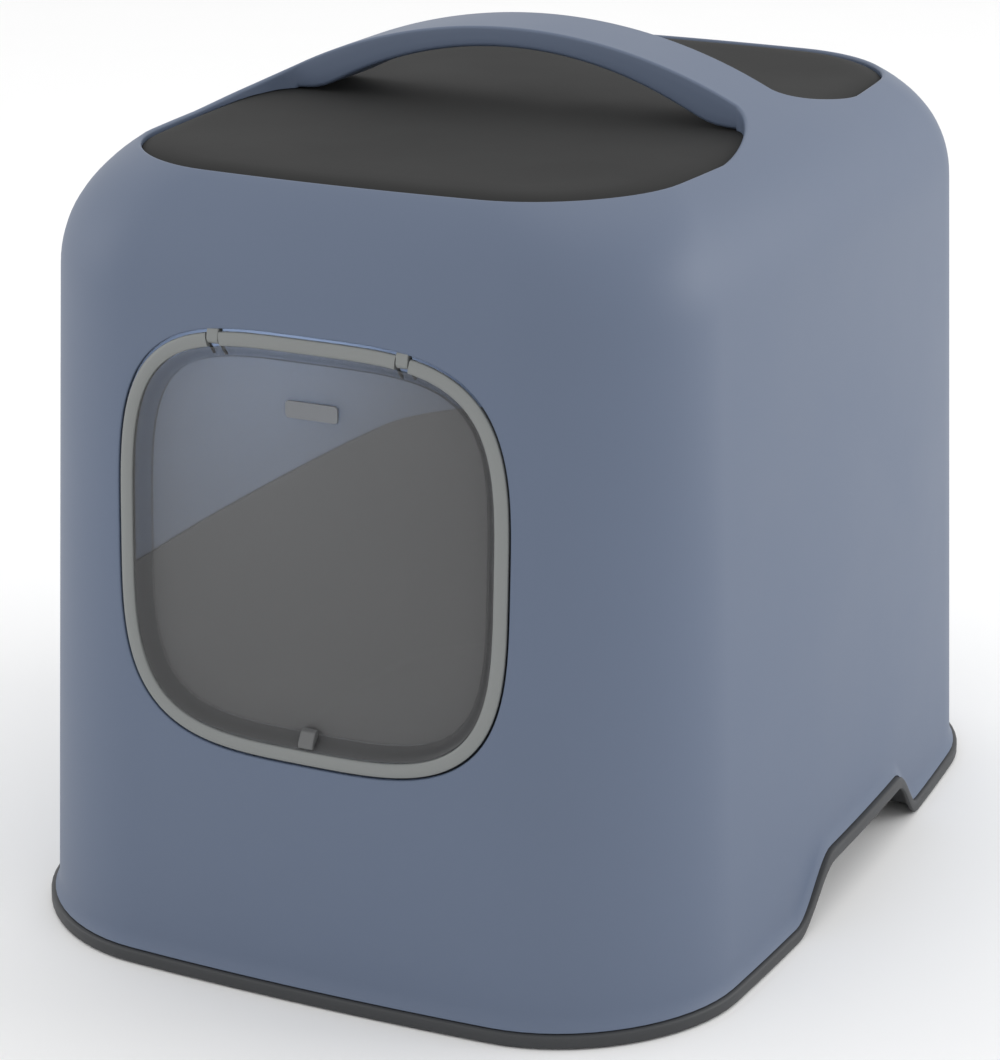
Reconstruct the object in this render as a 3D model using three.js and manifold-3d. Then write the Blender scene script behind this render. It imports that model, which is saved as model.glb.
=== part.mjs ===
// Cat litter box with a lift-off hood, built in millimetres with Z up.
// The origin is under the middle of the box, X runs to the right and Y runs to the back.
// The swing door is at the front, on the -Y side.

import * as THREE from 'three';
import Module from 'manifold-3d';
import { mergeVertices } from 'three/addons/utils/BufferGeometryUtils.js';

const wasm = await Module();
wasm.setup();

// ---------------------------------------------------------------- driving dimensions

// Plan outline of the rim: a rounded rectangle whose four sides bow outwards
const RIM_HALF_X = 200;
const RIM_HALF_Y = 271.2;
const RIM_CORNER = 91;
const BOW_FRONT = 10.3;
const BOW_SIDE = 14.2;

// Rim band of the tray, and the raised stretch on each side where the fingers go under it
const BAND_HEIGHT = 7.5;
const BAND_WALL = 3;
const BAND_OVERLAP = 0.6;
const GRIP_LIFT = 29.6;
const GRIP_FRONT_START = -98;
const GRIP_FRONT_END = -48;
const GRIP_BACK_START = 62;
const GRIP_BACK_END = 102;

// Tray
const TRAY_WALL = 2.8;
const TRAY_BASE_Z = 3;
const TRAY_BASE_INSET = 31.6;
const TRAY_FOOT_INSET = 29.4;
const TRAY_TOP_INSET = 17;
const TRAY_TOP_BACK = 169;
const TRAY_TOP_FRONT = 122;
const TRAY_RISE_START = -222;
const TRAY_RISE_END = -150;

// Hood
const HOOD_WALL = 2.6;
const HOOD_FOOT_INSET = 4.1;
const HOOD_DRAFT = 0.0411;
const HOOD_FLARE = 1.8;
const SHOULDER_Z = 369.9;
const SHOULDER_RADIUS = 77.6;
const SHOULDER_CORNER = 68;
const SEAT_GAP = 0.3;

// Handle: an arch across the top, one piece with the hood
const HANDLE_TOP = 478.5;
const HANDLE_ARCH_RADIUS = 305.3;
const HANDLE_UNDER_TOP = 467;
const HANDLE_UNDER_RADIUS = 225;
const HANDLE_HALF_DEPTH = 24;
const HANDLE_FOOT_X = 118;
const HANDLE_FLARE_X = 136;
const HANDLE_FLARE_Y = 84;
const HANDLE_FOOT_Z = 433.6;
const HANDLE_END_X = 150;
const HANDLE_FOOT_REACH = 4;
const HANDLE_TUNNEL_DROP = 12;

// Top opening and the panel that fills it
const OPENING_INSET = 52.9;
const PANEL_Z = 433;
const PANEL_GAP = 1.6;
const PANEL_WALL = 2.5;
const PANEL_SKIRT_Z = 419;
const PANEL_ROLL = [[0, -5.4], [2, -4], [5, -2.6], [10, -1], [18, 0]];

// Swing door
const DOOR_HALF_X = 112.4;
const DOOR_HALF_Z = 113.2;
const DOOR_Z = 246.5;
const DOOR_POWER = 3.6;
const DOOR_GAP = 2;
const BEAD_WIDTH = 7.5;
const DISH_SLOPE = 6.4;
const DISH_DEPTH = 8;
const FLAP_WALL = 2.2;

// Blank pad and closing tab on the door
const FLAP_PAD_Z = 321;
const FLAP_PAD_HALF_X = 15;
const FLAP_PAD_HALF_Z = 4.5;
const FLAP_PAD_CORNER = 2;
const TAB_WIDTH = 11;
const TAB_Z = 145;

// Door hinges
const HINGE_X = 54;
const HINGE_Z = 354;
const HINGE_DEPTH = 2.1;
const FINGER_WIDTH = 6.6;
const FINGER_RADIUS = 3.2;
const FINGER_TOP = 366;
const SLOT_WIDTH = 7.6;
const PIN_RADIUS = 1.25;
const PIN_CLEARANCE = 0.3;
const PIN_LENGTH = 15;
const PIN_END_PLAY = 0.6;

// Odour filter under the top panel
const FILTER_HALF_X = 84;
const FILTER_HALF_Y = 60;
const FILTER_FRAME_TOP = 429.6;
const FILTER_FRAME_BOTTOM = 408;
const FILTER_WALL = 2.4;
const FILTER_PAD_THICKNESS = 10;
const FILTER_COVER_THICKNESS = 2.6;
const FILTER_PIN_Y = 68;
const FILTER_PIN_Z = 404.5;
const FILTER_PIN_RADIUS = 1.5;
const FILTER_PIN_LENGTH = 130;
const FILTER_LUG_X = 60;
const FILTER_LUG_REACH = 3.4;
const FILTER_KNUCKLE_X = 52;
const FILTER_SLOT_HALF_X = 64;
const FILTER_SLOT_PITCH = 15;
const FILTER_SLOT_RADIUS = 3.5;

// Rubber feet
const FOOT_RADIUS = 11;
const FOOT_X = 128;
const FOOT_Y = 195;
const FOOT_HEIGHT = 2.6;

// ---------------------------------------------------------------- materials

const plastic = (color, roughness) => new THREE.MeshStandardMaterial({ color, roughness, metalness: 0 });
const BLUE = () => plastic(0x6a7690, 0.55);
const DARK = () => plastic(0x38393b, 0.7);
const FROSTED = () => new THREE.MeshStandardMaterial({
  color: 0x8c8f92, roughness: 0.4, metalness: 0, transparent: true, opacity: 0.7,
});
const LIGHT_GREY = () => plastic(0x9a9e9c, 0.45);
const STEEL = () => new THREE.MeshStandardMaterial({ color: 0xb8babd, roughness: 0.3, metalness: 1 });
const CARBON = () => plastic(0x1c1c1d, 0.95);
const RUBBER = () => plastic(0x222324, 0.9);

// ---------------------------------------------------------------- solids

// A closed mesh becomes a solid that can be joined and cut
function solid(geometry) {
  const bare = geometry.clone();
  bare.deleteAttribute('normal');
  bare.deleteAttribute('uv');
  const merged = mergeVertices(bare, 1e-4);
  const mesh = new wasm.Mesh({
    numProp: 3,
    vertProperties: new Float32Array(merged.attributes.position.array),
    triVerts: new Uint32Array(merged.index.array),
  });
  return new wasm.Manifold(mesh);
}

// A solid becomes a geometry again
function geometryOf(manifold) {
  const mesh = manifold.getMesh();
  const geometry = new THREE.BufferGeometry();
  geometry.setAttribute('position', new THREE.BufferAttribute(new Float32Array(mesh.vertProperties), 3));
  geometry.setIndex(new THREE.BufferAttribute(new Uint32Array(mesh.triVerts), 1));
  geometry.computeVertexNormals();
  return geometry;
}

// Skin over a row of rings that all have the same number of points.
// A capped skin is closed by a fan at each end; a hollow one joins its last ring to its first.
function skin(rings, capped) {
  const count = rings[0].length;
  const positions = rings.flat().flatMap((point) => [point.x, point.y, point.z]);
  const triangles = [];
  const bands = capped ? rings.length - 1 : rings.length;
  for (let band = 0; band < bands; band += 1) {
    const lower = band * count;
    const upper = ((band + 1) % rings.length) * count;
    for (let i = 0; i < count; i += 1) {
      const j = (i + 1) % count;
      triangles.push(lower + i, lower + j, upper + j);
      triangles.push(lower + i, upper + j, upper + i);
    }
  }
  if (capped) {
    const caps = [[rings[0], 0, true], [rings.at(-1), (rings.length - 1) * count, false]];
    for (const [ring, start, first] of caps) {
      const sum = ring.reduce((total, point) => total.add(point), new THREE.Vector3());
      const middle = sum.divideScalar(count);
      const centre = positions.length / 3;
      positions.push(middle.x, middle.y, middle.z);
      for (let i = 0; i < count; i += 1) {
        const a = start + i;
        const b = start + ((i + 1) % count);
        triangles.push(...(first ? [centre, b, a] : [centre, a, b]));
      }
    }
  }
  const geometry = new THREE.BufferGeometry();
  geometry.setAttribute('position', new THREE.Float32BufferAttribute(positions, 3));
  geometry.setIndex(triangles);
  return geometry;
}

const extruded = (shape, depth, curveSegments) => (
  new THREE.ExtrudeGeometry(shape, { depth, bevelEnabled: false, curveSegments })
);

// A flat outline in X and Z, pushed along Y from near to far
function alongY(shape, near, far, curveSegments = 12) {
  const geometry = extruded(shape, far - near, curveSegments);
  geometry.rotateX(Math.PI / 2);
  geometry.translate(0, far, 0);
  return geometry;
}

// A flat outline in Y and Z, pushed along X, centred on middle
function alongX(shape, width, middle, curveSegments = 12) {
  const geometry = extruded(shape, width, curveSegments);
  geometry.rotateX(Math.PI / 2);
  geometry.rotateZ(Math.PI / 2);
  geometry.translate(middle - width / 2, 0, 0);
  return geometry;
}

// A flat outline in X and Y, pushed up from low to high
function upwards(shape, low, high, curveSegments = 12) {
  const geometry = extruded(shape, high - low, curveSegments);
  geometry.translate(0, 0, low);
  return geometry;
}

function box(lowX, highX, lowY, highY, lowZ, highZ) {
  const geometry = new THREE.BoxGeometry(highX - lowX, highY - lowY, highZ - lowZ);
  geometry.translate((lowX + highX) / 2, (lowY + highY) / 2, (lowZ + highZ) / 2);
  return geometry;
}

function rodAlongX(radius, length, x, y, z, sides = 16) {
  const geometry = new THREE.CylinderGeometry(radius, radius, length, sides);
  geometry.rotateZ(Math.PI / 2);
  geometry.translate(x, y, z);
  return geometry;
}

function piece(name, shape, material) {
  const geometry = shape instanceof THREE.BufferGeometry ? shape : geometryOf(shape);
  geometry.computeVertexNormals();
  const mesh = new THREE.Mesh(geometry, material);
  mesh.name = name;
  return mesh;
}

// ---------------------------------------------------------------- plan outline

const ease = (t) => {
  const s = Math.min(1, Math.max(0, t));
  return s * s * (3 - 2 * s);
};

// How far the rim and the foot of the hood rise at a place along the side
function gripLift(y) {
  const rise = ease((y - GRIP_FRONT_START) / (GRIP_FRONT_END - GRIP_FRONT_START));
  const fall = ease((y - GRIP_BACK_START) / (GRIP_BACK_END - GRIP_BACK_START));
  return GRIP_LIFT * (rise - fall);
}

// Stations along the straight stretches, as shares of their half length.
// The sides have more of them where the rim climbs and drops.
const FRONT_STATIONS = [-1, -0.75, -0.5, -0.25, 0, 0.25, 0.5, 0.75, 1];
const SIDE_STATIONS = [
  -1, -0.76, -0.6, -0.54, -0.48, -0.41, -0.34, -0.27, -0.1, 0.1, 0.34, 0.4, 0.455, 0.51, 0.567, 0.75, 1,
];
const PLAIN_STATIONS = [-1, -0.67, -0.33, 0, 0.33, 0.67, 1];
const CORNER_STEPS = 8;

// The rim outline moved inwards, as points in order round it
function planRing(inset, corner, height, sides = SIDE_STATIONS) {
  const halfX = RIM_HALF_X - inset;
  const halfY = RIM_HALF_Y - inset;
  const straightX = halfX - corner;
  const straightY = halfY - corner;
  const points = [];
  const turn = (side) => {
    const signX = side === 0 || side === 1 ? 1 : -1;
    const signY = side === 1 || side === 2 ? 1 : -1;
    for (let step = 1; step < CORNER_STEPS; step += 1) {
      const angle = ((side - 1) * Math.PI) / 2 + (step / CORNER_STEPS) * (Math.PI / 2);
      const x = signX * straightX + corner * Math.cos(angle);
      const y = signY * straightY + corner * Math.sin(angle);
      points.push([x, y]);
    }
  };
  FRONT_STATIONS.forEach((share) => points.push([share * straightX, -halfY]));
  turn(0);
  sides.forEach((share) => points.push([halfX, share * straightY]));
  turn(1);
  FRONT_STATIONS.toReversed().forEach((share) => points.push([share * straightX, halfY]));
  turn(2);
  sides.toReversed().forEach((share) => points.push([-halfX, share * straightY]));
  turn(3);
  return points.map(([x, y]) => {
    const bowX = Math.sign(x) * BOW_SIDE * (1 - (y / halfY) ** 2) * (Math.abs(x) / halfX);
    const bowY = Math.sign(y) * BOW_FRONT * (1 - (x / halfX) ** 2) * (Math.abs(y) / halfY);
    return new THREE.Vector3(x + bowX, y + bowY, height(y + bowY));
  });
}

const level = (z) => () => z;

// ---------------------------------------------------------------- hood surfaces

const hoodInset = (z) => HOOD_FOOT_INSET + HOOD_DRAFT * z;
const hoodCorner = (inset) => Math.max(SHOULDER_CORNER, RIM_CORNER - 0.9 * inset);

// Front face of the hood at a place on the door
function frontY(x, z) {
  const inset = hoodInset(z);
  return -(RIM_HALF_Y - inset + BOW_FRONT * (1 - (x / (RIM_HALF_X - inset)) ** 2));
}

// Rings of the hood's skin from its foot to the middle of its top, moved inwards by depth
function hoodRings(depth) {
  const rings = [];
  const lift = (share, z) => (y) => z + share * gripLift(y);
  const footZ = BAND_HEIGHT + SEAT_GAP;
  const feet = [[0, HOOD_FLARE, 1], [2.2, HOOD_FLARE * 0.35, 1], [6, 0, 1], [60, 0, 0]];
  for (const [rise, flare, share] of feet) {
    const inset = hoodInset(footZ + rise) - flare;
    rings.push(planRing(inset + depth, hoodCorner(inset) - depth, lift(share, footZ + rise)));
  }
  const steps = 7;
  for (let step = 0; step <= steps; step += 1) {
    const angle = (step / steps) * (Math.PI / 2);
    const radius = SHOULDER_RADIUS - depth;
    const z = SHOULDER_Z + radius * Math.sin(angle);
    const inset = hoodInset(z) + SHOULDER_RADIUS - radius * Math.cos(angle);
    rings.push(planRing(inset, hoodCorner(inset) - depth, level(z)));
  }
  return rings;
}

// One half of the top opening, in front of or behind the handle. Its outer edge follows the shoulder,
// and its inner edge follows the handle and widens in a curve at each of the handle's feet.
function openingHalf(sign) {
  const ring = planRing(OPENING_INSET, SHOULDER_CORNER, level(0), PLAIN_STATIONS);
  const outer = ring.filter((point) => point.y < -HANDLE_FLARE_Y).sort((a, b) => a.x - b.x || b.y - a.y);
  const left = outer[0];
  const right = outer.at(-1);
  const depth = HANDLE_HALF_DEPTH;
  const shape = new THREE.Shape();
  shape.moveTo(-HANDLE_FLARE_X, -depth);
  const near = { x: right.x - 5, y: -depth - 3 };
  const far = { x: right.x + 1, y: right.y + 58 };
  shape.bezierCurveTo(-near.x, near.y, -far.x, far.y, left.x, left.y);
  outer.forEach((point) => shape.lineTo(point.x, point.y));
  shape.bezierCurveTo(far.x, far.y, near.x, near.y, HANDLE_FLARE_X, -depth);
  shape.closePath();
  const geometry = upwards(shape, PANEL_Z - 41, HANDLE_TOP + 10, 8);
  if (sign > 0) geometry.rotateZ(Math.PI);
  return solid(geometry);
}

// Height of an arc whose top is in the middle
const arcHeight = (x, top, radius) => top - radius + Math.sqrt(radius ** 2 - x ** 2);

function arcPoints(from, to, steps, top, radius) {
  return Array.from({ length: steps + 1 }, (_, i) => {
    const x = from + ((to - from) * i) / steps;
    return new THREE.Vector2(x, arcHeight(x, top, radius));
  });
}

// The underside of the arch, from one foot to the other, where it is clear of the panel
function handleUnderside() {
  const points = arcPoints(-HANDLE_FOOT_X, HANDLE_FOOT_X, 20, HANDLE_UNDER_TOP, HANDLE_UNDER_RADIUS);
  return points.filter((point) => point.y > HANDLE_FOOT_Z + 0.1);
}

// The arch: its crest, then down to the two feet and along the underside
function handleArch() {
  const crest = arcPoints(HANDLE_END_X, -HANDLE_END_X, 24, HANDLE_TOP, HANDLE_ARCH_RADIUS);
  const toe = HANDLE_END_X - HANDLE_FOOT_REACH;
  const heel = HANDLE_FOOT_X + HANDLE_FOOT_REACH;
  const [leftToe, leftHeel, rightHeel, rightToe] = [-toe, -heel, heel, toe].map(
    (x) => new THREE.Vector2(x, HANDLE_FOOT_Z),
  );
  const shape = new THREE.Shape([...crest, leftToe, leftHeel, ...handleUnderside(), rightHeel, rightToe]);
  return solid(alongY(shape, -HANDLE_HALF_DEPTH, HANDLE_HALF_DEPTH));
}

// What is cut away under the arch, down through the hood's roof, so that a hand goes through
function handleTunnel() {
  const heel = HANDLE_FOOT_X + HANDLE_FOOT_REACH;
  const top = HANDLE_FOOT_Z - 0.01;
  const bottom = HANDLE_FOOT_Z - HANDLE_TUNNEL_DROP;
  const corners = [[heel, top], [heel, bottom], [-heel, bottom], [-heel, top]];
  const outline = [...handleUnderside(), ...corners.map(([x, z]) => new THREE.Vector2(x, z))];
  const reach = HANDLE_HALF_DEPTH + 10;
  return solid(alongY(new THREE.Shape(outline.reverse()), -reach, reach));
}

// ---------------------------------------------------------------- door surfaces

// One point of the door outline moved inwards, in X and Z
function doorPoint(angle, inset) {
  const power = 2 / DOOR_POWER;
  const c = Math.cos(angle);
  const s = Math.sin(angle);
  const x = DOOR_HALF_X * Math.sign(c) * Math.abs(c) ** power;
  const z = DOOR_HALF_Z * Math.sign(s) * Math.abs(s) ** power;
  const normal = new THREE.Vector2(
    (Math.sign(x) * Math.abs(x / DOOR_HALF_X) ** (DOOR_POWER - 1)) / DOOR_HALF_X,
    (Math.sign(z) * Math.abs(z / DOOR_HALF_Z) ** (DOOR_POWER - 1)) / DOOR_HALF_Z,
  ).normalize();
  return new THREE.Vector2(x - normal.x * inset, z - normal.y * inset + DOOR_Z);
}

const DOOR_STEPS = 56;
const doorOutline = (inset) => Array.from({ length: DOOR_STEPS }, (_, i) => {
  const angle = (i / DOOR_STEPS) * Math.PI * 2;
  const eased = angle + 0.18 * Math.sin(4 * angle);
  return doorPoint(eased, inset);
});

// A ring on the curved front, behind its face by depth
function doorRing(inset, depth) {
  return doorOutline(inset).map((p) => new THREE.Vector3(p.x, frontY(p.x, p.y) + depth, p.y));
}

// The solids for one hinge place that the door and the hood share
const hingeY = frontY(HINGE_X, HINGE_Z) + HINGE_DEPTH;
const pinHole = (x) => {
  const radius = PIN_RADIUS + PIN_CLEARANCE;
  return solid(rodAlongX(radius, PIN_LENGTH + PIN_END_PLAY, x, hingeY, HINGE_Z, 20));
};
const hingeSlot = (x) => solid(
  box(x - SLOT_WIDTH / 2, x + SLOT_WIDTH / 2, hingeY - 20, hingeY + 20, HINGE_Z - 8, HINGE_Z + 20),
);

// ---------------------------------------------------------------- tray

function trayTop(y) {
  const rise = ease((y - TRAY_RISE_START) / (TRAY_RISE_END - TRAY_RISE_START));
  return TRAY_TOP_FRONT + (TRAY_TOP_BACK - TRAY_TOP_FRONT) * rise;
}

function makeTray() {
  const wall = TRAY_WALL;
  const ring = (inset, height) => planRing(inset, RIM_CORNER - 0.8 * Math.min(inset, 60), height);
  const pan = skin([
    ring(TRAY_BASE_INSET + 20, level(TRAY_BASE_Z + wall)),
    ring(TRAY_BASE_INSET + wall, level(TRAY_BASE_Z + wall)),
    ring(TRAY_FOOT_INSET + wall, level(TRAY_BASE_Z + wall + 4)),
    ring(TRAY_TOP_INSET + wall, trayTop),
    ring(TRAY_TOP_INSET, trayTop),
    ring(TRAY_FOOT_INSET, level(TRAY_BASE_Z + 4)),
    ring(TRAY_BASE_INSET, level(TRAY_BASE_Z)),
    ring(TRAY_BASE_INSET + 20, level(TRAY_BASE_Z)),
  ].reverse(), true);
  const raised = (z) => (y) => z + gripLift(y);
  const band = skin([
    ring(0, raised(0)),
    ring(0, raised(BAND_HEIGHT)),
    ring(TRAY_FOOT_INSET + BAND_OVERLAP, raised(BAND_HEIGHT)),
    ring(TRAY_FOOT_INSET + BAND_OVERLAP, raised(BAND_HEIGHT - BAND_WALL)),
    ring(BAND_WALL, raised(BAND_HEIGHT - BAND_WALL)),
    ring(BAND_WALL, raised(0)),
  ], false);
  return piece('tray', solid(pan).add(solid(band)), DARK());
}

function makeFoot(name, x, y) {
  const profile = [
    [0, 0], [FOOT_RADIUS - 1, 0], [FOOT_RADIUS, 1], [FOOT_RADIUS, FOOT_HEIGHT], [0, FOOT_HEIGHT],
  ];
  const geometry = new THREE.LatheGeometry(profile.map(([r, z]) => new THREE.Vector2(r, z)), 16);
  geometry.rotateX(Math.PI / 2);
  geometry.translate(x, y, 0);
  return piece(name, solid(geometry), RUBBER());
}

// ---------------------------------------------------------------- hood

// The finger that comes down from the top edge of the door opening and carries a hinge pin
function hingeFinger(x) {
  const shape = new THREE.Shape();
  shape.absarc(hingeY, HINGE_Z, FINGER_RADIUS, Math.PI, 2 * Math.PI, false);
  shape.lineTo(hingeY + FINGER_RADIUS, FINGER_TOP);
  shape.lineTo(hingeY, FINGER_TOP);
  shape.lineTo(hingeY - FINGER_RADIUS, HINGE_Z + 5);
  shape.closePath();
  return solid(alongX(shape, FINGER_WIDTH, x));
}

function makeHood() {
  const shell = skin([...hoodRings(HOOD_WALL).reverse(), ...hoodRings(0)], true);
  const doorShape = new THREE.Shape(doorOutline(-DOOR_GAP));
  let hood = solid(shell).add(handleArch());
  hood = hood.subtract(openingHalf(-1));
  hood = hood.subtract(openingHalf(1));
  hood = hood.subtract(handleTunnel());
  hood = hood.subtract(solid(alongY(doorShape, -320, -200)));
  for (const x of [-HINGE_X, HINGE_X]) {
    hood = hood.add(hingeFinger(x)).subtract(pinHole(x));
  }
  return piece('hood', hood, BLUE());
}

// The panel in the top opening: nearly flat, its edge rolled down to a skirt
function makeTopPanel() {
  const ring = (inward, z) => {
    const corner = Math.max(8, SHOULDER_CORNER - PANEL_GAP - inward);
    return planRing(OPENING_INSET + PANEL_GAP + inward, corner, level(z), PLAIN_STATIONS);
  };
  const skirtWall = PANEL_WALL * 0.8;
  const outer = PANEL_ROLL.map(([inward, drop]) => ring(inward, PANEL_Z + drop));
  const inner = PANEL_ROLL.map(([inward, drop]) => ring(inward + skirtWall, PANEL_Z + drop - PANEL_WALL));
  const rings = [...inner.reverse(), ring(skirtWall, PANEL_SKIRT_Z), ring(0, PANEL_SKIRT_Z), ...outer];
  return piece('top_panel', skin(rings, true), DARK());
}

// ---------------------------------------------------------------- swing door

// The frosted dish: a slope all round it goes back from the bead to a flat middle
function makeFlap() {
  const front = [[BEAD_WIDTH + 0.3, 1], [BEAD_WIDTH + DISH_SLOPE, DISH_DEPTH], [40, DISH_DEPTH]];
  const faces = front.map(([inset, depth]) => doorRing(inset, depth));
  const backs = front.map(([inset, depth]) => doorRing(inset, depth + FLAP_WALL));
  return piece('flap_panel', skin([...backs.toReversed(), ...faces], true), FROSTED());
}

// The soft bead round the edge of the flap, cut through at the two hinges
// into the short piece between them and the long piece round the other sides
function makeFlapRims() {
  let bead = solid(skin([
    doorRing(0, 0.8),
    doorRing(0, 3),
    doorRing(1.2, 3.8),
    doorRing(BEAD_WIDTH, 3.8),
    doorRing(BEAD_WIDTH, 0.2),
    doorRing(BEAD_WIDTH - 1.6, -0.8),
    doorRing(1.8, -0.8),
  ].reverse(), false));
  for (const x of [-HINGE_X, HINGE_X]) bead = bead.subtract(hingeSlot(x)).subtract(pinHole(x));
  const [first, second] = bead.decompose().toSorted((a, b) => b.volume() - a.volume());
  return [piece('flap_rim', first, LIGHT_GREY()), piece('flap_rim_top', second, LIGHT_GREY())];
}

function makeFlapPad() {
  const shape = new THREE.Shape();
  const corner = FLAP_PAD_CORNER;
  const x = FLAP_PAD_HALF_X - corner;
  const low = FLAP_PAD_Z - FLAP_PAD_HALF_Z + corner;
  const high = FLAP_PAD_Z + FLAP_PAD_HALF_Z - corner;
  shape.moveTo(-x, low - corner);
  shape.absarc(x, low, corner, -Math.PI / 2, 0, false);
  shape.absarc(x, high, corner, 0, Math.PI / 2, false);
  shape.absarc(-x, high, corner, Math.PI / 2, Math.PI, false);
  shape.absarc(-x, low, corner, Math.PI, 1.5 * Math.PI, false);
  const face = frontY(0, FLAP_PAD_Z) + DISH_DEPTH;
  return piece('flap_pad', alongY(shape, face - 1.6, face - 0.35, 4), LIGHT_GREY());
}

// The closing tab in the middle of the lower edge, as heights and depths behind the face
function makeFlapTab() {
  const foot = frontY(0, TAB_Z);
  const profile = [[-3.1, -0.6], [1, -0.6], [7, 3.4], [7, 7.4], [2.4, 7.3], [-3.1, 1.2]];
  const points = profile.map(([rise, depth]) => new THREE.Vector2(foot + depth, TAB_Z + rise));
  return piece('flap_tab', alongX(new THREE.Shape(points.reverse()), TAB_WIDTH, 0), LIGHT_GREY());
}

function makeHingePin(name, x) {
  return piece(name, rodAlongX(PIN_RADIUS, PIN_LENGTH, x, hingeY, HINGE_Z, 20), STEEL());
}

// ---------------------------------------------------------------- odour filter

function rectangle(halfX, halfY) {
  return new THREE.Shape([
    new THREE.Vector2(-halfX, -halfY), new THREE.Vector2(halfX, -halfY),
    new THREE.Vector2(halfX, halfY), new THREE.Vector2(-halfX, halfY),
  ]);
}

const filterPinHole = (x) => (
  solid(rodAlongX(FILTER_PIN_RADIUS + PIN_CLEARANCE, 20, x, FILTER_PIN_Y, FILTER_PIN_Z))
);

function makeFilterFrame() {
  const back = FILTER_HALF_Y + FILTER_WALL;
  const shape = rectangle(FILTER_HALF_X + FILTER_WALL, back);
  shape.holes.push(rectangle(FILTER_HALF_X, FILTER_HALF_Y));
  let frame = solid(upwards(shape, FILTER_FRAME_BOTTOM, FILTER_FRAME_TOP));
  const reach = FILTER_LUG_REACH;
  for (const x of [-FILTER_LUG_X, FILTER_LUG_X]) {
    const lug = box(
      x - 3, x + 3, back - 0.6, FILTER_PIN_Y + reach, FILTER_PIN_Z - reach, FILTER_FRAME_BOTTOM + 6,
    );
    frame = frame.add(solid(lug)).subtract(filterPinHole(x));
  }
  return piece('filter_frame', frame, DARK());
}

function makeCarbonFilter() {
  const low = FILTER_FRAME_BOTTOM + 0.6;
  const shape = rectangle(FILTER_HALF_X - 1, FILTER_HALF_Y - 1);
  return piece('carbon_filter', upwards(shape, low, low + FILTER_PAD_THICKNESS), CARBON());
}

// The slotted cover that holds the filter up, hinged along its back edge
function makeFilterCover() {
  const high = FILTER_FRAME_BOTTOM - 0.4;
  const low = high - FILTER_COVER_THICKNESS;
  const shape = rectangle(FILTER_HALF_X + FILTER_WALL, FILTER_HALF_Y + FILTER_WALL - 1.4);
  for (let row = -3; row <= 3; row += 1) {
    const slot = new THREE.Path();
    const y = row * FILTER_SLOT_PITCH;
    slot.absarc(-FILTER_SLOT_HALF_X, y, FILTER_SLOT_RADIUS, Math.PI / 2, 1.5 * Math.PI, false);
    slot.absarc(FILTER_SLOT_HALF_X, y, FILTER_SLOT_RADIUS, -Math.PI / 2, Math.PI / 2, false);
    slot.closePath();
    shape.holes.push(slot);
  }
  let cover = solid(upwards(shape, low, high, 6));
  for (const x of [-FILTER_KNUCKLE_X, FILTER_KNUCKLE_X]) {
    const arm = box(x - 4, x + 4, FILTER_HALF_Y - 1, FILTER_PIN_Y, low, low + 2.4);
    const barrel = rodAlongX(3, 8, x, FILTER_PIN_Y, FILTER_PIN_Z);
    cover = cover.add(solid(arm)).add(solid(barrel)).subtract(filterPinHole(x));
  }
  return piece('filter_cover', cover, DARK());
}

function makeFilterPin() {
  const rod = rodAlongX(FILTER_PIN_RADIUS, FILTER_PIN_LENGTH, 0, FILTER_PIN_Y, FILTER_PIN_Z);
  return piece('filter_cover_pin', rod, STEEL());
}

// ---------------------------------------------------------------- assembly

const litterBox = new THREE.Group();
litterBox.add(makeTray());
[[-1, -1], [1, -1], [-1, 1], [1, 1]].forEach(([sideX, sideY], i) => {
  litterBox.add(makeFoot(`foot_${i + 1}`, sideX * FOOT_X, sideY * FOOT_Y));
});
litterBox.add(makeHood());
litterBox.add(makeTopPanel());
litterBox.add(makeFilterFrame());
litterBox.add(makeCarbonFilter());
litterBox.add(makeFilterCover());
litterBox.add(makeFilterPin());
litterBox.add(makeFlap());
litterBox.add(...makeFlapRims());
litterBox.add(makeFlapPad());
litterBox.add(makeFlapTab());
litterBox.add(makeHingePin('hinge_pin_left', -HINGE_X));
litterBox.add(makeHingePin('hinge_pin_right', HINGE_X));

export default litterBox;
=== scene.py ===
# %% [markdown]
# # A hooded cat litter box
#
# This lesson dresses a finished mechanical model of a litter box. The model already knows how big
# everything is and what moves. Here each visible piece gets a smooth skin and a good material.
# The sizes below are in millimetres, because that is how a moulder would draw them. Blender works
# in metres, so every mesh is scaled once, at the moment it is made.

# %% Load the frame
import bpy
import bmesh
import math
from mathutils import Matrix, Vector


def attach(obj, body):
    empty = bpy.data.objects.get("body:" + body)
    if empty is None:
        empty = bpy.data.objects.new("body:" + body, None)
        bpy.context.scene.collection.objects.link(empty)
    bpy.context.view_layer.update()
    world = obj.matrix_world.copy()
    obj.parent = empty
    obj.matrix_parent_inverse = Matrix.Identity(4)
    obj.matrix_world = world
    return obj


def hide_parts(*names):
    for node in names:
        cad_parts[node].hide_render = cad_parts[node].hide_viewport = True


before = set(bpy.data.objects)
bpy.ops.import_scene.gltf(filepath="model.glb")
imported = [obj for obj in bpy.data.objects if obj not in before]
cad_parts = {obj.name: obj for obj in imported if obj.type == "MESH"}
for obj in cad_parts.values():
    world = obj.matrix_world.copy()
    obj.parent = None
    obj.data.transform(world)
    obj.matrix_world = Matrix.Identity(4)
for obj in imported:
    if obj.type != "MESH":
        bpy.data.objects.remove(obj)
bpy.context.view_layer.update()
MM = 0.001

# %% [markdown]
# ## The plan of the box
#
# Seen from above, the box is a rounded rectangle whose four sides bow outwards a little. Every wall
# of the hood and the tray is the same plan, moved inwards by some inset. So one function that gives
# a point of the plan is enough to make all of them, and neighbouring pieces always fit.

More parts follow.
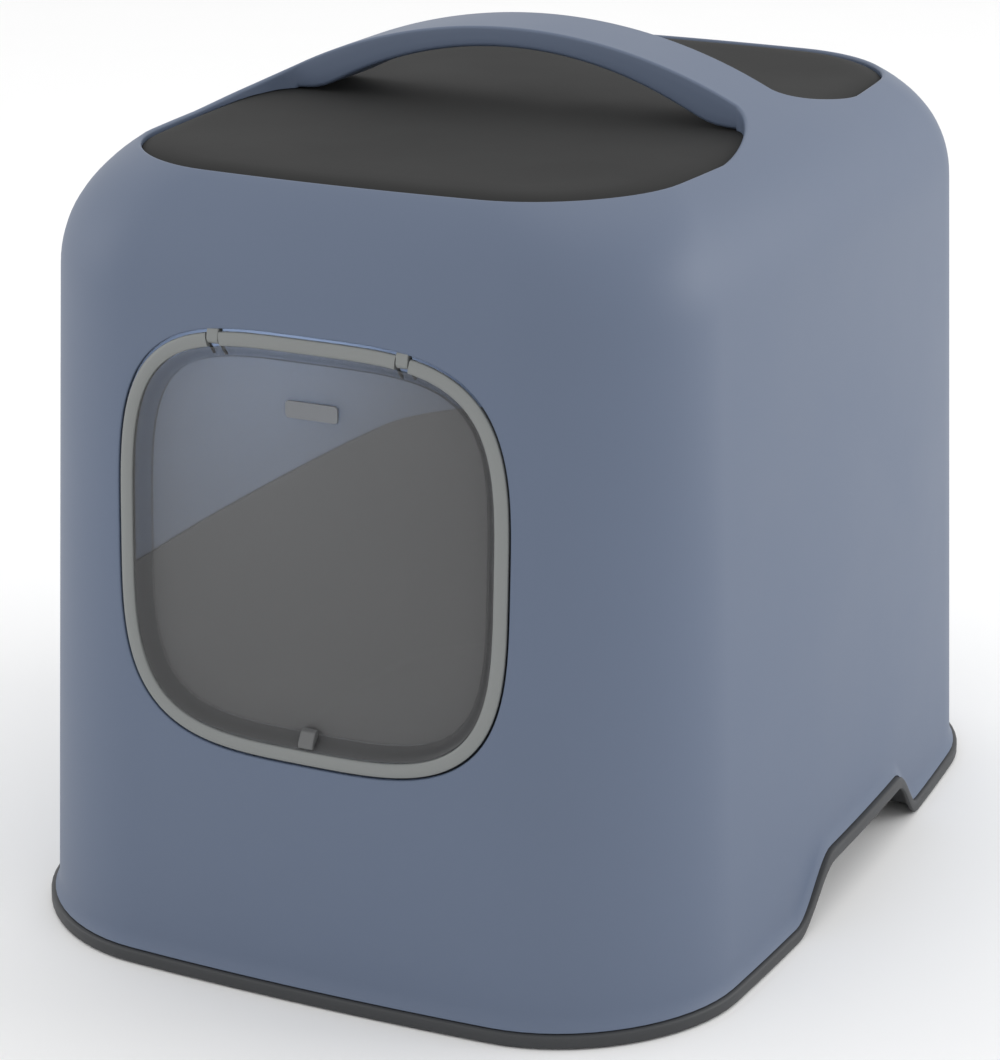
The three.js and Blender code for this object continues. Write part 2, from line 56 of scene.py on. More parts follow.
# %% Sizes of the plan
RIM_HALF_X = 200.0
RIM_HALF_Y = 271.2
BOW_FRONT = 10.3
BOW_SIDE = 14.2
CORNER_AT_RIM = 91.0
CORNER_AT_TOP = 68.0
CORNER_SHRINK = 0.9
CORNER_SETTLE = 6.0


def ease(t):
    """0 before 0, 1 after 1, and a soft S between."""
    t = min(1.0, max(0.0, t))
    return t * t * (3 - 2 * t)


def plan_corner(inset):
    """Corner radius of the plan at an inset. It shrinks going in, and settles at the top's radius."""
    spare = CORNER_AT_RIM - CORNER_SHRINK * inset - CORNER_AT_TOP
    return CORNER_AT_TOP + 0.5 * (spare + math.sqrt(spare * spare + CORNER_SETTLE ** 2))


def bow(x, y, half_x, half_y):
    """Pushes a point of the straight rounded rectangle out to the bowed plan."""
    out_x = math.copysign(BOW_SIDE, x) * (1 - (y / half_y) ** 2) * abs(x) / half_x
    out_y = math.copysign(BOW_FRONT, y) * (1 - (x / half_x) ** 2) * abs(y) / half_y
    return x + out_x, y + out_y


print("rim is", 2 * (RIM_HALF_X + BOW_SIDE), "by", 2 * (RIM_HALF_Y + BOW_FRONT), "mm")

# %% [markdown]
# A ring of the plan is walked in fixed stations: along the front, round a corner, along a side, and
# so on. The stations are the same on every ring, so rings can be joined point to point.

# %% Stations round the plan
FRONT_CELLS = 36
CORNER_CELLS = 16
SIDE_CELLS = 84


def shares(cells):
    """Evenly spaced shares of a straight stretch, from -1 to 1."""
    return [2 * i / cells - 1 for i in range(cells + 1)]


STATIONS = []
for turn in range(4):
    along = shares(FRONT_CELLS if turn % 2 == 0 else SIDE_CELLS)
    STATIONS += [(turn, share, None) for share in along]
    STATIONS += [(turn, None, step / CORNER_CELLS) for step in range(1, CORNER_CELLS)]
print("stations on a ring:", len(STATIONS))


def plan_point(station, inset, corner=None):
    """One point of the plan: turn 0 is the front, 1 the right side, 2 the back and 3 the left side."""
    turn, share, part = station
    corner = plan_corner(inset) if corner is None else corner
    half_x = RIM_HALF_X - inset
    half_y = RIM_HALF_Y - inset
    side_x = half_x - corner
    side_y = half_y - corner
    sign = 1 if turn < 2 else -1
    if share is not None and turn % 2 == 0:
        x, y = sign * share * side_x, -sign * half_y
    elif share is not None:
        x, y = sign * half_x, sign * share * side_y
    else:
        angle = (turn - 1) * math.pi / 2 + part * math.pi / 2
        centre_x = side_x if turn in (0, 1) else -side_x
        centre_y = side_y if turn in (1, 2) else -side_y
        x, y = centre_x + corner * math.cos(angle), centre_y + corner * math.sin(angle)
    return bow(x, y, half_x, half_y)


def plan_ring(inset, height, corner=None):
    """A whole ring as points. The inset and the height may be numbers or functions of y."""
    ring = []
    for station in STATIONS:
        first = inset(0.0) if callable(inset) else inset
        x, y = plan_point(station, first, corner)
        if callable(inset):
            x, y = plan_point(station, inset(y), corner)
        ring.append(Vector((x, y, height(y) if callable(height) else height)))
    return ring


# %% [markdown]
# ## Turning rings into meshes
#
# Three small helpers do all the mesh work: one joins rings into faces, one closes an end with a fan,
# and one welds a list of patches into a single smooth object that rides on a body.

# %% Mesh helpers
def band_faces(rows, closed=True, reverse=False):
    """Quads between neighbouring rows of points, as lists of four points."""
    quads = []
    for lower, upper in zip(rows, rows[1:]):
        count = len(lower)
        for i in range(count if closed else count - 1):
            j = (i + 1) % count
            quad = [lower[i], lower[j], upper[j], upper[i]]
            quads.append(quad[::-1] if reverse else quad)
    return quads


def fan_faces(ring, reverse=False):
    """Triangles from a ring to its middle."""
    middle = sum(ring, Vector()) / len(ring)
    triangles = []
    for i, point in enumerate(ring):
        triangle = [point, ring[(i + 1) % len(ring)], middle]
        triangles.append(triangle[::-1] if reverse else triangle)
    return triangles


def weld(name, faces, crease_deg=35.0):
    """Faces in millimetres become one welded, smooth-shaded object in metres."""
    mesh_data = bmesh.new()
    for points in faces:
        mesh_data.faces.new([mesh_data.verts.new(point * MM) for point in points])
    bmesh.ops.remove_doubles(mesh_data, verts=mesh_data.verts[:], dist=2e-6)
    bmesh.ops.dissolve_degenerate(mesh_data, edges=mesh_data.edges[:], dist=1e-7)
    mesh = bpy.data.meshes.new(name)
    mesh_data.to_mesh(mesh)
    mesh_data.free()
    mesh.shade_smooth()
    mesh.set_sharp_from_angle(angle=math.radians(crease_deg))
    piece = bpy.data.objects.new(name, mesh)
    bpy.context.scene.collection.objects.link(piece)
    return piece


def dress(piece, material, body, slot, *nodes):
    """Gives a piece its material and its body, and names the CAD nodes that it stands for. The slot is
    not used.
    """
    piece.data.materials.clear()
    piece.data.materials.append(material)
    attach(piece, body)
    if nodes:
        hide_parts(*nodes)
    print(piece.name, "faces:", len(piece.data.polygons))
    return piece


# %% [markdown]
# ## Materials
#
# Moulded plastic is never one flat colour. A fine grain catches the light, pigment drifts a little
# from place to place, and the roughness changes with it. The helper below makes such a plastic out of
# two noises: a very fine one for the grain and a broad one for the drift.

# %% A moulded plastic
def colour_mix(tree, factor, low, high):
    """A colour that runs from low to high with a factor."""
    mix = tree.nodes.new("ShaderNodeMix")
    mix.data_type = "RGBA"
    mix.inputs["A"].default_value = (*low, 1)
    mix.inputs["B"].default_value = (*high, 1)
    tree.links.new(factor, mix.inputs["Factor"])
    return mix.outputs["Result"]


def noise(tree, scale, detail=2.0):
    """A noise that is fixed to the piece, at so many cells per metre."""
    place = tree.nodes.new("ShaderNodeTexCoord")
    node = tree.nodes.new("ShaderNodeTexNoise")
    node.inputs["Scale"].default_value = scale
    node.inputs["Detail"].default_value = detail
    tree.links.new(place.outputs["Object"], node.inputs["Vector"])
    return node.outputs["Fac"]


NOISE_LOW = 0.3
NOISE_HIGH = 0.7


def spread(tree, value, low, high):
    """Stretches a noise, which mostly stays between NOISE_LOW and NOISE_HIGH, to run from low to high."""
    node = tree.nodes.new("ShaderNodeMapRange")
    node.inputs["From Min"].default_value = NOISE_LOW
    node.inputs["From Max"].default_value = NOISE_HIGH
    node.inputs["To Min"].default_value = low
    node.inputs["To Max"].default_value = high
    tree.links.new(value, node.inputs["Value"])
    return node.outputs["Result"]


DRIFT_PER_M = 9.0
PLASTIC_IOR = 1.48


def moulded(name, colour, drift, roughness, grain_per_m, grain_depth):
    """A plastic with a drifting pigment and a fine moulded grain."""
    material = bpy.data.materials.new(name)
    material.use_nodes = True
    tree = material.node_tree
    shader = tree.nodes["Principled BSDF"]
    low = [channel * (1 - drift) for channel in colour]
    high = [channel * (1 + drift) for channel in colour]
    broad = noise(tree, DRIFT_PER_M, 3.0)
    tree.links.new(colour_mix(tree, broad, low, high), shader.inputs["Base Color"])
    gloss = spread(tree, broad, roughness * 0.94, roughness * 1.06)
    tree.links.new(gloss, shader.inputs["Roughness"])
    grain = tree.nodes.new("ShaderNodeBump")
    grain.inputs["Strength"].default_value = 1.0
    grain.inputs["Distance"].default_value = grain_depth * MM
    tree.links.new(noise(tree, grain_per_m), grain.inputs["Height"])
    tree.links.new(grain.outputs["Normal"], shader.inputs["Normal"])
    shader.inputs["IOR"].default_value = PLASTIC_IOR
    return material


HOOD_BLUE = moulded("hood_blue", (0.102, 0.133, 0.199), 0.03, 0.5, 900.0, 0.012)
TRAY_DARK = moulded("tray_dark", (0.035, 0.037, 0.040), 0.06, 0.55, 900.0, 0.015)
PANEL_DARK = moulded("panel_dark", (0.0115, 0.0117, 0.0115), 0.1, 0.85, 620.0, 0.05)
PANEL_DARK.node_tree.nodes["Principled BSDF"].inputs["Specular IOR Level"].default_value = 0.4
BEAD_GREY = moulded("bead_grey", (0.2, 0.21, 0.208), 0.04, 0.42, 1100.0, 0.006)
PAD_GREY = moulded("pad_grey", (0.165, 0.174, 0.188), 0.04, 0.45, 1100.0, 0.006)
TAB_GREY = moulded("tab_grey", (0.115, 0.118, 0.12), 0.05, 0.5, 1100.0, 0.006)
# The hinge ribs are real, but their dark grey is painted shade: the shadow that the marks beside each
# hinge sit in.
RIB_PAINTED_SHADE_GREY = moulded("rib_painted_shade_grey", (0.072, 0.075, 0.08), 0.05, 0.5, 1100.0, 0.006)
FILTER_BLACK = moulded("filter_felt", (0.012, 0.012, 0.013), 0.2, 0.95, 1400.0, 0.5)
FOOT_RUBBER = moulded("foot_rubber", (0.018, 0.018, 0.019), 0.1, 0.85, 1200.0, 0.03)
print("moulded finishes:", len(bpy.data.materials))

# %% [markdown]
# The door is smoke grey and frosted. Part of the light that meets it is scattered back as haze, and
# the rest goes through, so the wall of the hood and the darker tray behind the door show as two
# areas. Rough transmission would blur them, but it comes out blotchy here, so this door uses alpha: a
# low alpha gives the clear share and the base colour gives the haze. The slope round the door is the
# same plastic and is seen nearly edge on. It gets a darker, less clear copy of that plastic, which is
# painted shade for the dark band round the door's edge.

# %% Frosted door plastic
HAZE_PER_M = 14.0
FROST_PER_M = 1300.0
FROST_DEPTH = 0.004


def frosted(name, thin, dense, alpha):
    """Smoke-grey plastic whose haze drifts between two colours. Alpha is how much of it is haze."""
    material = bpy.data.materials.new(name)
    material.use_nodes = True
    tree = material.node_tree
    shader = tree.nodes["Principled BSDF"]
    haze = noise(tree, HAZE_PER_M, 3.0)
    tree.links.new(colour_mix(tree, haze, thin, dense), shader.inputs["Base Color"])
    tree.links.new(spread(tree, haze, 0.34, 0.42), shader.inputs["Roughness"])
    shader.inputs["Alpha"].default_value = alpha
    shader.inputs["IOR"].default_value = 1.4
    grain = tree.nodes.new("ShaderNodeBump")
    grain.inputs["Distance"].default_value = FROST_DEPTH * MM
    tree.links.new(noise(tree, FROST_PER_M), grain.inputs["Height"])
    tree.links.new(grain.outputs["Normal"], shader.inputs["Normal"])
    return material


DOOR_FROSTED = frosted("door_frosted", (0.166, 0.167, 0.169), (0.182, 0.183, 0.186), 0.40)
# Painted shade: the slope's copy of the plastic is darker and less clear than the door's, for the dark
# band round the door's edge.
DOOR_SLOPE_PAINTED_SHADE = frosted("door_slope_painted_shade", (0.1, 0.101, 0.103), (0.115, 0.116, 0.118), 0.46)
print("frosted finishes:", DOOR_FROSTED.name, DOOR_SLOPE_PAINTED_SHADE.name)

# %% [markdown]
# The hinge pins are ground steel wire. They are tiny, so a metal whose colour and roughness follow a
# fine noise is enough, with no bump.

# %% Ground steel for the pins
def ground_steel(name):
    """Ground wire: bright, with fine wear."""
    material = bpy.data.materials.new(name)
    material.use_nodes = True
    tree = material.node_tree
    shader = tree.nodes["Principled BSDF"]
    rings = noise(tree, 700.0, 4.0)
    steel = colour_mix(tree, rings, (0.5, 0.51, 0.52), (0.62, 0.63, 0.64))
    tree.links.new(steel, shader.inputs["Base Color"])
    tree.links.new(spread(tree, rings, 0.22, 0.38), shader.inputs["Roughness"])
    shader.inputs["Metallic"].default_value = 1.0
    return material


PIN_STEEL = ground_steel("pin_steel")
print("materials:", len(bpy.data.materials))

# %% [markdown]
# ## The side view of the hood
#
# The wall leans in slightly as it goes up, as every moulded wall must so that it can leave its
# mould. At the shoulder it turns over in a big round. Given a height, these functions say how far in
# the wall is, and given an inset they say how high the roof is.

# %% Sizes of the hood
HOOD_FOOT_Z = 7.8
HOOD_WALL = 2.6
FOOT_INSET = 4.1
DRAFT = 0.0411
SHOULDER_Z = 369.9
SHOULDER_RADIUS = 77.6
OPENING_TURN = math.radians(52.3)
GRIP_LIFT = 29.6
GRIP_CLIMB = (-98.0, -48.0)
GRIP_DROP = (62.0, 102.0)


def grip_lift(y):
    """How far the rim is raised along the sides, where fingers go under it."""
    climb = ease((y - GRIP_CLIMB[0]) / (GRIP_CLIMB[1] - GRIP_CLIMB[0]))
    drop = ease((y - GRIP_DROP[0]) / (GRIP_DROP[1] - GRIP_DROP[0]))
    return GRIP_LIFT * (climb - drop)


def wall_inset(z):
    """How far in the wall stands at a height, from its draft."""
    return FOOT_INSET + DRAFT * z


def shoulder_point(turn):
    """Inset and height of the shoulder after it has turned over by an angle."""
    z = SHOULDER_Z + SHOULDER_RADIUS * math.sin(turn)
    return wall_inset(z) + SHOULDER_RADIUS * (1 - math.cos(turn)), z


EDGE_INSET, EDGE_Z = shoulder_point(OPENING_TURN)
print("roof edge at inset", round(EDGE_INSET, 2), "and height", round(EDGE_Z, 2))

# %% [markdown]
# ## The hood's walls
#
# The walls are a stack of rings. Near the foot the rings flare out onto the tray's ledge and follow
# the raised grip on each side. Higher up they are level.

# %% Rings of the hood
FLARE = 2.4
FLARE_HEIGHT = 10.0
FLARE_POWER = 2.2
FOOT_TUCK = 0.5
CALM_LEVELS = [(24, 0.86), (32, 0.66), (42, 0.42), (54, 0.17), (66, 0.0)]
WALL_STEP = 6.0


def lifted(base, share):
    """A height that follows a share of the raised grip."""
    return lambda y: base + share * grip_lift(y)


hood_rows = []
for rise in (0.0, 0.4, 1.2, 2.2, 3.6, 5.4, 7.6, FLARE_HEIGHT):
    out = FLARE * (1 - rise / FLARE_HEIGHT) ** FLARE_POWER - (FOOT_TUCK if rise == 0 else 0.0)
    level = lifted(HOOD_FOOT_Z + rise, 1.0)
    hood_rows.append(plan_ring(lambda y, out=out, level=level: wall_inset(level(y)) - out, level))
for base, share in CALM_LEVELS:
    level = lifted(base, share)
    hood_rows.append(plan_ring(lambda y, level=level: wall_inset(level(y)), level))
wall_steps = round((SHOULDER_Z - CALM_LEVELS[-1][0]) / WALL_STEP)
for step in range(1, wall_steps + 1):
    z = CALM_LEVELS[-1][0] + (SHOULDER_Z - CALM_LEVELS[-1][0]) * step / wall_steps
    hood_rows.append(plan_ring(wall_inset(z), z))
SHOULDER_STEPS = 16
wall_top = len(hood_rows) - 1
for step in range(1, SHOULDER_STEPS + 1):
    inset, z = shoulder_point(OPENING_TURN * step / SHOULDER_STEPS)
    hood_rows.append(plan_ring(inset, z))
print("hood rings:", len(hood_rows))

# %% [markdown]
# ## The door opening
#
# The opening is a soft square: a superellipse, which is rounder than a square and fuller than a
# circle. A window of whole cells is left out of the wall, and a patch of rays fills the room
# between the window and the opening, so the mesh lines run neatly round the edge.

# %% Sizes of the door
DOOR_HALF_X = 112.4
DOOR_HALF_Z = 113.2
DOOR_Z = 246.5
DOOR_POWER = 3.6
DOOR_GAP_TOP = 1.6
DOOR_GAP = 1.2
GAP_WIDENS_FROM = 0.6
GAP_WIDENS_OVER = 0.3


def front_y(x, z):
    """The hood's front face at a place: the plan solved for y."""
    inset = wall_inset(z)
    corner = plan_corner(inset)
    half_x, half_y = RIM_HALF_X - inset, RIM_HALF_Y - inset
    flat_x = x
    for _ in range(6):
        past = max(0.0, abs(flat_x) - (half_x - corner))
        flat_y = half_y - (corner - math.sqrt(corner * corner - past * past))
        bowed_x, bowed_y = bow(flat_x, -flat_y, half_x, half_y)
        flat_x += x - bowed_x
    return bowed_y


def door_point(angle, inset):
    """A point of the door's outline in x and z, moved inwards by inset. Minus values move outwards."""
    cosine, sine = math.cos(angle), math.sin(angle)
    across = abs(cosine / DOOR_HALF_X) ** DOOR_POWER
    upwards = abs(sine / DOOR_HALF_Z) ** DOOR_POWER
    reach = (across + upwards) ** (-1 / DOOR_POWER)
    x, z = reach * cosine, reach * sine
    normal = Vector((
        math.copysign(abs(x / DOOR_HALF_X) ** (DOOR_POWER - 1) / DOOR_HALF_X, x),
        math.copysign(abs(z / DOOR_HALF_Z) ** (DOOR_POWER - 1) / DOOR_HALF_Z, z),
    )).normalized()
    return x - normal.x * inset, z - normal.y * inset + DOOR_Z


def on_front(x, z, depth=0.0):
    """A point on the front face, or behind it by depth."""
    return Vector((x, front_y(x, z) + depth, z))


def door_gap(angle):
    """Room between the door and the hood. It is wider at the top, where the hinges turn the edge."""
    height = door_point(angle, 0.0)[1] - DOOR_Z
    widened = ease((height / DOOR_HALF_Z - GAP_WIDENS_FROM) / GAP_WIDENS_OVER)
    return DOOR_GAP + (DOOR_GAP_TOP - DOOR_GAP) * widened


# %% Walls with a window, and the patch round the door
WINDOW_CORNER_CELLS = 3
WINDOW_MARGIN = 8.0
ring_size = len(STATIONS)
first_column = ring_size - WINDOW_CORNER_CELLS
window_width = FRONT_CELLS + 2 * WINDOW_CORNER_CELLS + 1
window_columns = [(first_column + i) % ring_size for i in range(window_width)]
window_foot = DOOR_Z - DOOR_HALF_Z - WINDOW_MARGIN
window_low = max(i for i in range(wall_top) if hood_rows[i][0].z < window_foot)
window_high = wall_top

hood_faces = []
skipped = set(window_columns[:-1])
for row in range(len(hood_rows) - 1):
    for i in range(ring_size):
        if window_low <= row < window_high and i in skipped:
            continue
        j = (i + 1) % ring_size
        lower, upper = hood_rows[row], hood_rows[row + 1]
        hood_faces.append([lower[i], lower[j], upper[j], upper[i]])

window = [hood_rows[window_low][i] for i in window_columns[:-1]]
window += [hood_rows[row][window_columns[-1]] for row in range(window_low, window_high)]
window += [hood_rows[window_high][i] for i in window_columns[:0:-1]]
window += [hood_rows[row][window_columns[0]] for row in range(window_high, window_low, -1)]
door_angles = [math.atan2(point.z - DOOR_Z, point.x) for point in window]

DOOR_EDGE_ROUND = 0.9
DOOR_EDGE_DEPTH = 2.8
patch_rows = [window]
for share in (0.25, 0.5, 0.72, 0.88, 1.0):
    row = []
    for point, angle in zip(window, door_angles):
        x, z = door_point(angle, -door_gap(angle) - DOOR_EDGE_ROUND)
        row.append(on_front(point.x + (x - point.x) * share, point.z + (z - point.z) * share))
    patch_rows.append(row)
for step in range(1, 5):
    turn = math.pi / 2 * step / 4
    outwards = DOOR_EDGE_ROUND * (1 - math.sin(turn))
    depth = DOOR_EDGE_ROUND * (1 - math.cos(turn))
    patch_rows.append([on_front(*door_point(a, -door_gap(a) - outwards), depth) for a in door_angles])
patch_rows.append([on_front(*door_point(a, -door_gap(a)), DOOR_EDGE_DEPTH) for a in door_angles])
hood_faces += band_faces(patch_rows)
print("points round the door:", len(window))

# %% [markdown]
# ## The roof and the handle
#
# The handle is a broad arch that grows out of the two shoulders. Its crest is a circle that just
# touches the round of the shoulder, so there is no step where one becomes the other. Its front and
# back edges run straight across the middle and sweep outwards at each foot.

# %% Sizes of the handle
HANDLE_TOP = 478.5
ARCH_RADIUS = 305.3
UNDER_TOP = 467.0
UNDER_RADIUS = 225.0
UNDER_HALF_X = 134.5
UNDER_FILLET = 5.0
HANDLE_HALF_DEPTH = 24.0
SWEEP_X = 134.0
PANEL_Z = 433.0
PANEL_GAP = 1.6
LIP_Z = 426.5
CREST_BLEND_FROM = 146.0
CREST_BLEND_OVER = 14.0
HANDLE_FOOT_REACH = 101.0
UNDER_CLEARANCE = 0.2

crest_x = RIM_HALF_X + BOW_SIDE - wall_inset(EDGE_Z) - SHOULDER_RADIUS
crest_z = SHOULDER_Z


def crest(x):
    """Height of the roof along the middle of the handle."""
    x = abs(x)
    arch = HANDLE_TOP - ARCH_RADIUS + math.sqrt(ARCH_RADIUS ** 2 - x ** 2)
    if x < CREST_BLEND_FROM:
        return arch
    round_part = crest_z + math.sqrt(max(0.0, SHOULDER_RADIUS ** 2 - (x - crest_x) ** 2))
    return arch + (round_part - arch) * ease((x - CREST_BLEND_FROM) / CREST_BLEND_OVER)


def roof(x, y):
    """Height of the roof anywhere between the two halves of the opening."""
    half_y = RIM_HALF_Y - EDGE_INSET
    return crest(abs(x) + BOW_SIDE * (y / half_y) ** 2)


# %% The strip between the two halves of the opening
roof_edge = hood_rows[-1]
right_side = [i for i, s in enumerate(STATIONS) if s[0] == 1 and s[1] is not None]
left_side = [i for i, s in enumerate(STATIONS) if s[0] == 3 and s[1] is not None]
cell_length = roof_edge[right_side[-1]].y / (SIDE_CELLS / 2)
half_cells = round(HANDLE_FOOT_REACH / cell_length)
middle = SIDE_CELLS // 2
right_end = [roof_edge[right_side[middle + k]] for k in range(-half_cells, half_cells + 1)]
left_end = [roof_edge[left_side[middle - k]] for k in range(-half_cells, half_cells + 1)]
foot_x, foot_y = right_end[0].x, -right_end[0].y
print("handle's foot reaches", round(foot_x, 1), round(foot_y, 1))


def sweep(t):
    """The handle's edge at its right foot, from the roof's edge (t = 1) to the straight part (t = 0)."""
    a = Vector((SWEEP_X, HANDLE_HALF_DEPTH))
    b = Vector((foot_x - 13, HANDLE_HALF_DEPTH + 1))
    c = Vector((foot_x - 0.4, foot_y - 34))
    d = Vector((foot_x, foot_y))
    s = 1 - t
    return a * s ** 3 + b * 3 * s * s * t + c * 3 * s * t * t + d * t ** 3


SWEEP_CELLS = 22
STRAIGHT_CELLS = 24
edge_points = [Vector((SWEEP_X * i / STRAIGHT_CELLS, HANDLE_HALF_DEPTH)) for i in range(STRAIGHT_CELLS)]
edge_points += [sweep(i / SWEEP_CELLS) for i in range(SWEEP_CELLS + 1)]
edge_points = [Vector((-p.x, p.y)) for p in edge_points[:0:-1]] + edge_points

strip_rows = []
for column, edge in enumerate(edge_points):
    if column == 0 or column == len(edge_points) - 1:
        strip_rows.append(left_end if column == 0 else right_end)
        continue
    end = right_end if edge.x > 0 else left_end
    far = ease((abs(edge.x) - SWEEP_X) / (foot_x - SWEEP_X))
    row = []
    for k, end_point in enumerate(end):
        share = k / half_cells - 1
        x = edge.x + (end_point.x - end[0].x) * far
        y = edge.y * share
        row.append(Vector((x, y, roof(x, y))))
    strip_rows.append(row)
hood_faces += band_faces(strip_rows, closed=False, reverse=True)

# %% [markdown]
# Each half of the opening now has a closed outline on the roof. The edge is rounded over and the
# wall goes down: to the lip beside the panel, to the panel where a foot stands on it, and to the
# underside of the arch where the hand goes through.

# %% Edges of the two halves
EDGE_ROUND = 1.6
UNDER_ROUND = 2.4
FOOT_ABOVE_PANEL = 0.4
PANEL_ROLL = ((0.0, 5.4), (2.0, 4.0), (5.0, 2.6), (10.0, 1.0), (18.0, 0.0), (400.0, 0.0))


def panel_drop(x, y):
    """How far the panel's top is below its middle, from the distance to its edge."""
    half_y = RIM_HALF_Y - EDGE_INSET
    edge_x = RIM_HALF_X + BOW_SIDE - EDGE_INSET - PANEL_GAP
    distance = edge_x - (abs(x) + BOW_SIDE * (y / half_y) ** 2)
    for (near, high), (far, low) in zip(PANEL_ROLL, PANEL_ROLL[1:]):
        if distance < far:
            return high + (low - high) * max(0.0, distance - near) / (far - near)
    return 0.0


def underside(x):
    """Height of the arch's underside. At each foot it eases onto the panel in a fillet."""
    arch = UNDER_TOP - UNDER_RADIUS + math.sqrt(UNDER_RADIUS ** 2 - x ** 2)
    above = arch - PANEL_Z - UNDER_CLEARANCE
    return PANEL_Z + UNDER_CLEARANCE + 0.5 * (above + math.sqrt(above ** 2 + UNDER_FILLET ** 2))


def half_outline(sign):
    """The outline of one half, anticlockwise from above, and which points are on the handle."""
    if sign < 0:
        left, right = left_side[middle + half_cells], right_side[middle - half_cells]
        ring_part = [roof_edge[i % ring_size] for i in range(left, right + ring_size + 1)]
        handle_part = [row[0] for row in strip_rows[-2:0:-1]]
    else:
        right, left = right_side[middle + half_cells], left_side[middle - half_cells]
        ring_part = [roof_edge[i] for i in range(right, left + 1)]
        handle_part = [row[-1] for row in strip_rows[1:-1]]
    return ring_part + handle_part, [False] * len(ring_part) + [True] * len(handle_part)


def edge_column(point, into, slope, on_handle):
    """Points from the roof's edge down the wall at one place of the outline."""
    column = []
    for step in range(7):
        angle = slope - (slope + math.pi / 2) * step / 6
        reach = EDGE_ROUND * (math.sin(slope) - math.sin(angle))
        fall = EDGE_ROUND * (math.cos(angle) - math.cos(slope))
        column.append(point + into * reach + Vector((0, 0, fall)))
    wall = column[-1]
    if on_handle and abs(point.x) <= UNDER_HALF_X:
        low = underside(wall.x)
        for share in (0.33, 0.66):
            column.append(Vector((wall.x, wall.y, wall.z + (low + UNDER_ROUND - wall.z) * share)))
        for step in range(5):
            angle = math.pi / 2 * step / 4
            back = into * (-UNDER_ROUND * (1 - math.cos(angle)))
            drop = UNDER_ROUND * (1 - math.sin(angle))
            column.append(Vector((wall.x + back.x, wall.y + back.y, low + drop)))
    else:
        low = LIP_Z
        if on_handle:
            low = max(LIP_Z, PANEL_Z + FOOT_ABOVE_PANEL - panel_drop(wall.x, wall.y))
        for share in (0.16, 0.33, 0.5, 0.66, 0.83, 0.95, 1.0):
            column.append(Vector((wall.x, wall.y, wall.z + (low - wall.z) * share)))
    return column


FEELER = 0.5


def edge_slope(point, into, on_handle):
    """Slope of the roof as it arrives at an edge, so that the rounding starts flush with it."""
    if not on_handle or abs(point.y) >= foot_y:
        return math.pi / 2 - OPENING_TURN
    behind = point - into * FEELER
    return math.atan2(roof(point.x, point.y) - roof(behind.x, behind.y), FEELER)


under_edges = {}
for sign in (-1, 1):
    outline, on_handle = half_outline(sign)
    columns = []
    for i, point in enumerate(outline):
        before, after = outline[i - 1], outline[(i + 1) % len(outline)]
        run = after - before
        into = Vector((-run.y, run.x, 0)).normalized()
        slope = edge_slope(point, into, on_handle[i])
        columns.append(edge_column(point, into, slope, on_handle[i]))
        if on_handle[i] and abs(point.x) <= UNDER_HALF_X:
            under_edges[(sign, round(point.x, 4))] = columns[-1][-1]
    count = len(columns)
    for i, column in enumerate(columns):
        beside = columns[(i + 1) % count]
        for k in range(min(len(column), len(beside)) - 1):
            hood_faces.append([column[k], beside[k], beside[k + 1], column[k + 1]])
print("places under the arch:", len(under_edges))

# %% The underside of the arch
under_x = sorted({key[1] for key in under_edges})
UNDER_CELLS = 14
under_rows = []
for x in under_x:
    front, back = under_edges[(-1, x)], under_edges[(1, x)]
    under_rows.append([front.lerp(back, k / UNDER_CELLS) for k in range(UNDER_CELLS + 1)])
hood_faces += band_faces(under_rows, closed=False)

# %% [markdown]
# The skin is welded and given its thickness with a Solidify modifier, which also closes the edges of
# the door opening and the foot. The two hinge fingers come later, with the door.

# %% The hood
hood = weld("hood_shell", hood_faces)
thickness = hood.modifiers.new("wall", "SOLIDIFY")
thickness.thickness = HOOD_WALL * MM
thickness.offset = -1.0
thickness.use_even_offset = False
dress(hood, HOOD_BLUE, "hood", "blue_plastic", "hood")

# %% [markdown]
# ## The top panel
#
# A dark plate fills the opening and passes under the handle. Its edge rolls down softly, so a thin
# shadow line separates it from the hood.

# %% The top panel
panel_rows = []
PANEL_SKIRT = 14.0
PANEL_WALL = 2.4
roll_profile = [(0.0, PANEL_SKIRT), (0.0, 6.9), (0.25, 5.9), (0.9, 5.0), (2.0, 4.1), (3.6, 3.2)]
roll_profile += [(6.0, 2.15), (9.0, 1.2), (13.0, 0.45), (18.0, 0.0)]
for inward, drop in roll_profile:
    inset = EDGE_INSET + PANEL_GAP + inward
    panel_rows.append(plan_ring(inset, PANEL_Z - drop, corner=CORNER_AT_TOP - PANEL_GAP - inward))
for inward in (30.0, 55.0, 85.0):
    shrink = max(6.0, CORNER_AT_TOP - PANEL_GAP - inward)
    panel_rows.append(plan_ring(EDGE_INSET + PANEL_GAP + inward, PANEL_Z, corner=shrink))
panel_faces = band_faces(panel_rows) + fan_faces(panel_rows[-1])
top_panel = weld("top_panel_plate", panel_faces)
plate = top_panel.modifiers.new("wall", "SOLIDIFY")
plate.thickness = PANEL_WALL * MM
plate.offset = -1.0
dress(top_panel, PANEL_DARK, "hood", "dark_plastic", "top_panel")

# %% [markdown]
# ## The tray
#
# One closed profile makes the tray: from the middle of the floor, up the inside wall, over the rim,
# down the outside, out along the ledge that carries the hood, round the rim band and back under.

# %% The tray
TRAY_TOP_BACK = 169.0
TRAY_TOP_FRONT = 122.0
TRAY_RISE = (-222.0, -150.0)
TRAY_FLOOR_TOP = 5.8
TRAY_FLOOR_UNDER = 3.0
TRAY_FOOT = (29.4, 7.0)
TRAY_LEAN = (12.4, 162.0)
TRAY_INSIDE = (32.2, 11.0)
BAND = 7.5
BAND_UNDER = 4.5


def tray_top(y):
    """Height of the pan's rim, which is lower at the front so that a cat can step in."""
    rise = ease((y - TRAY_RISE[0]) / (TRAY_RISE[1] - TRAY_RISE[0]))
    return TRAY_TOP_FRONT + (TRAY_TOP_BACK - TRAY_TOP_FRONT) * rise


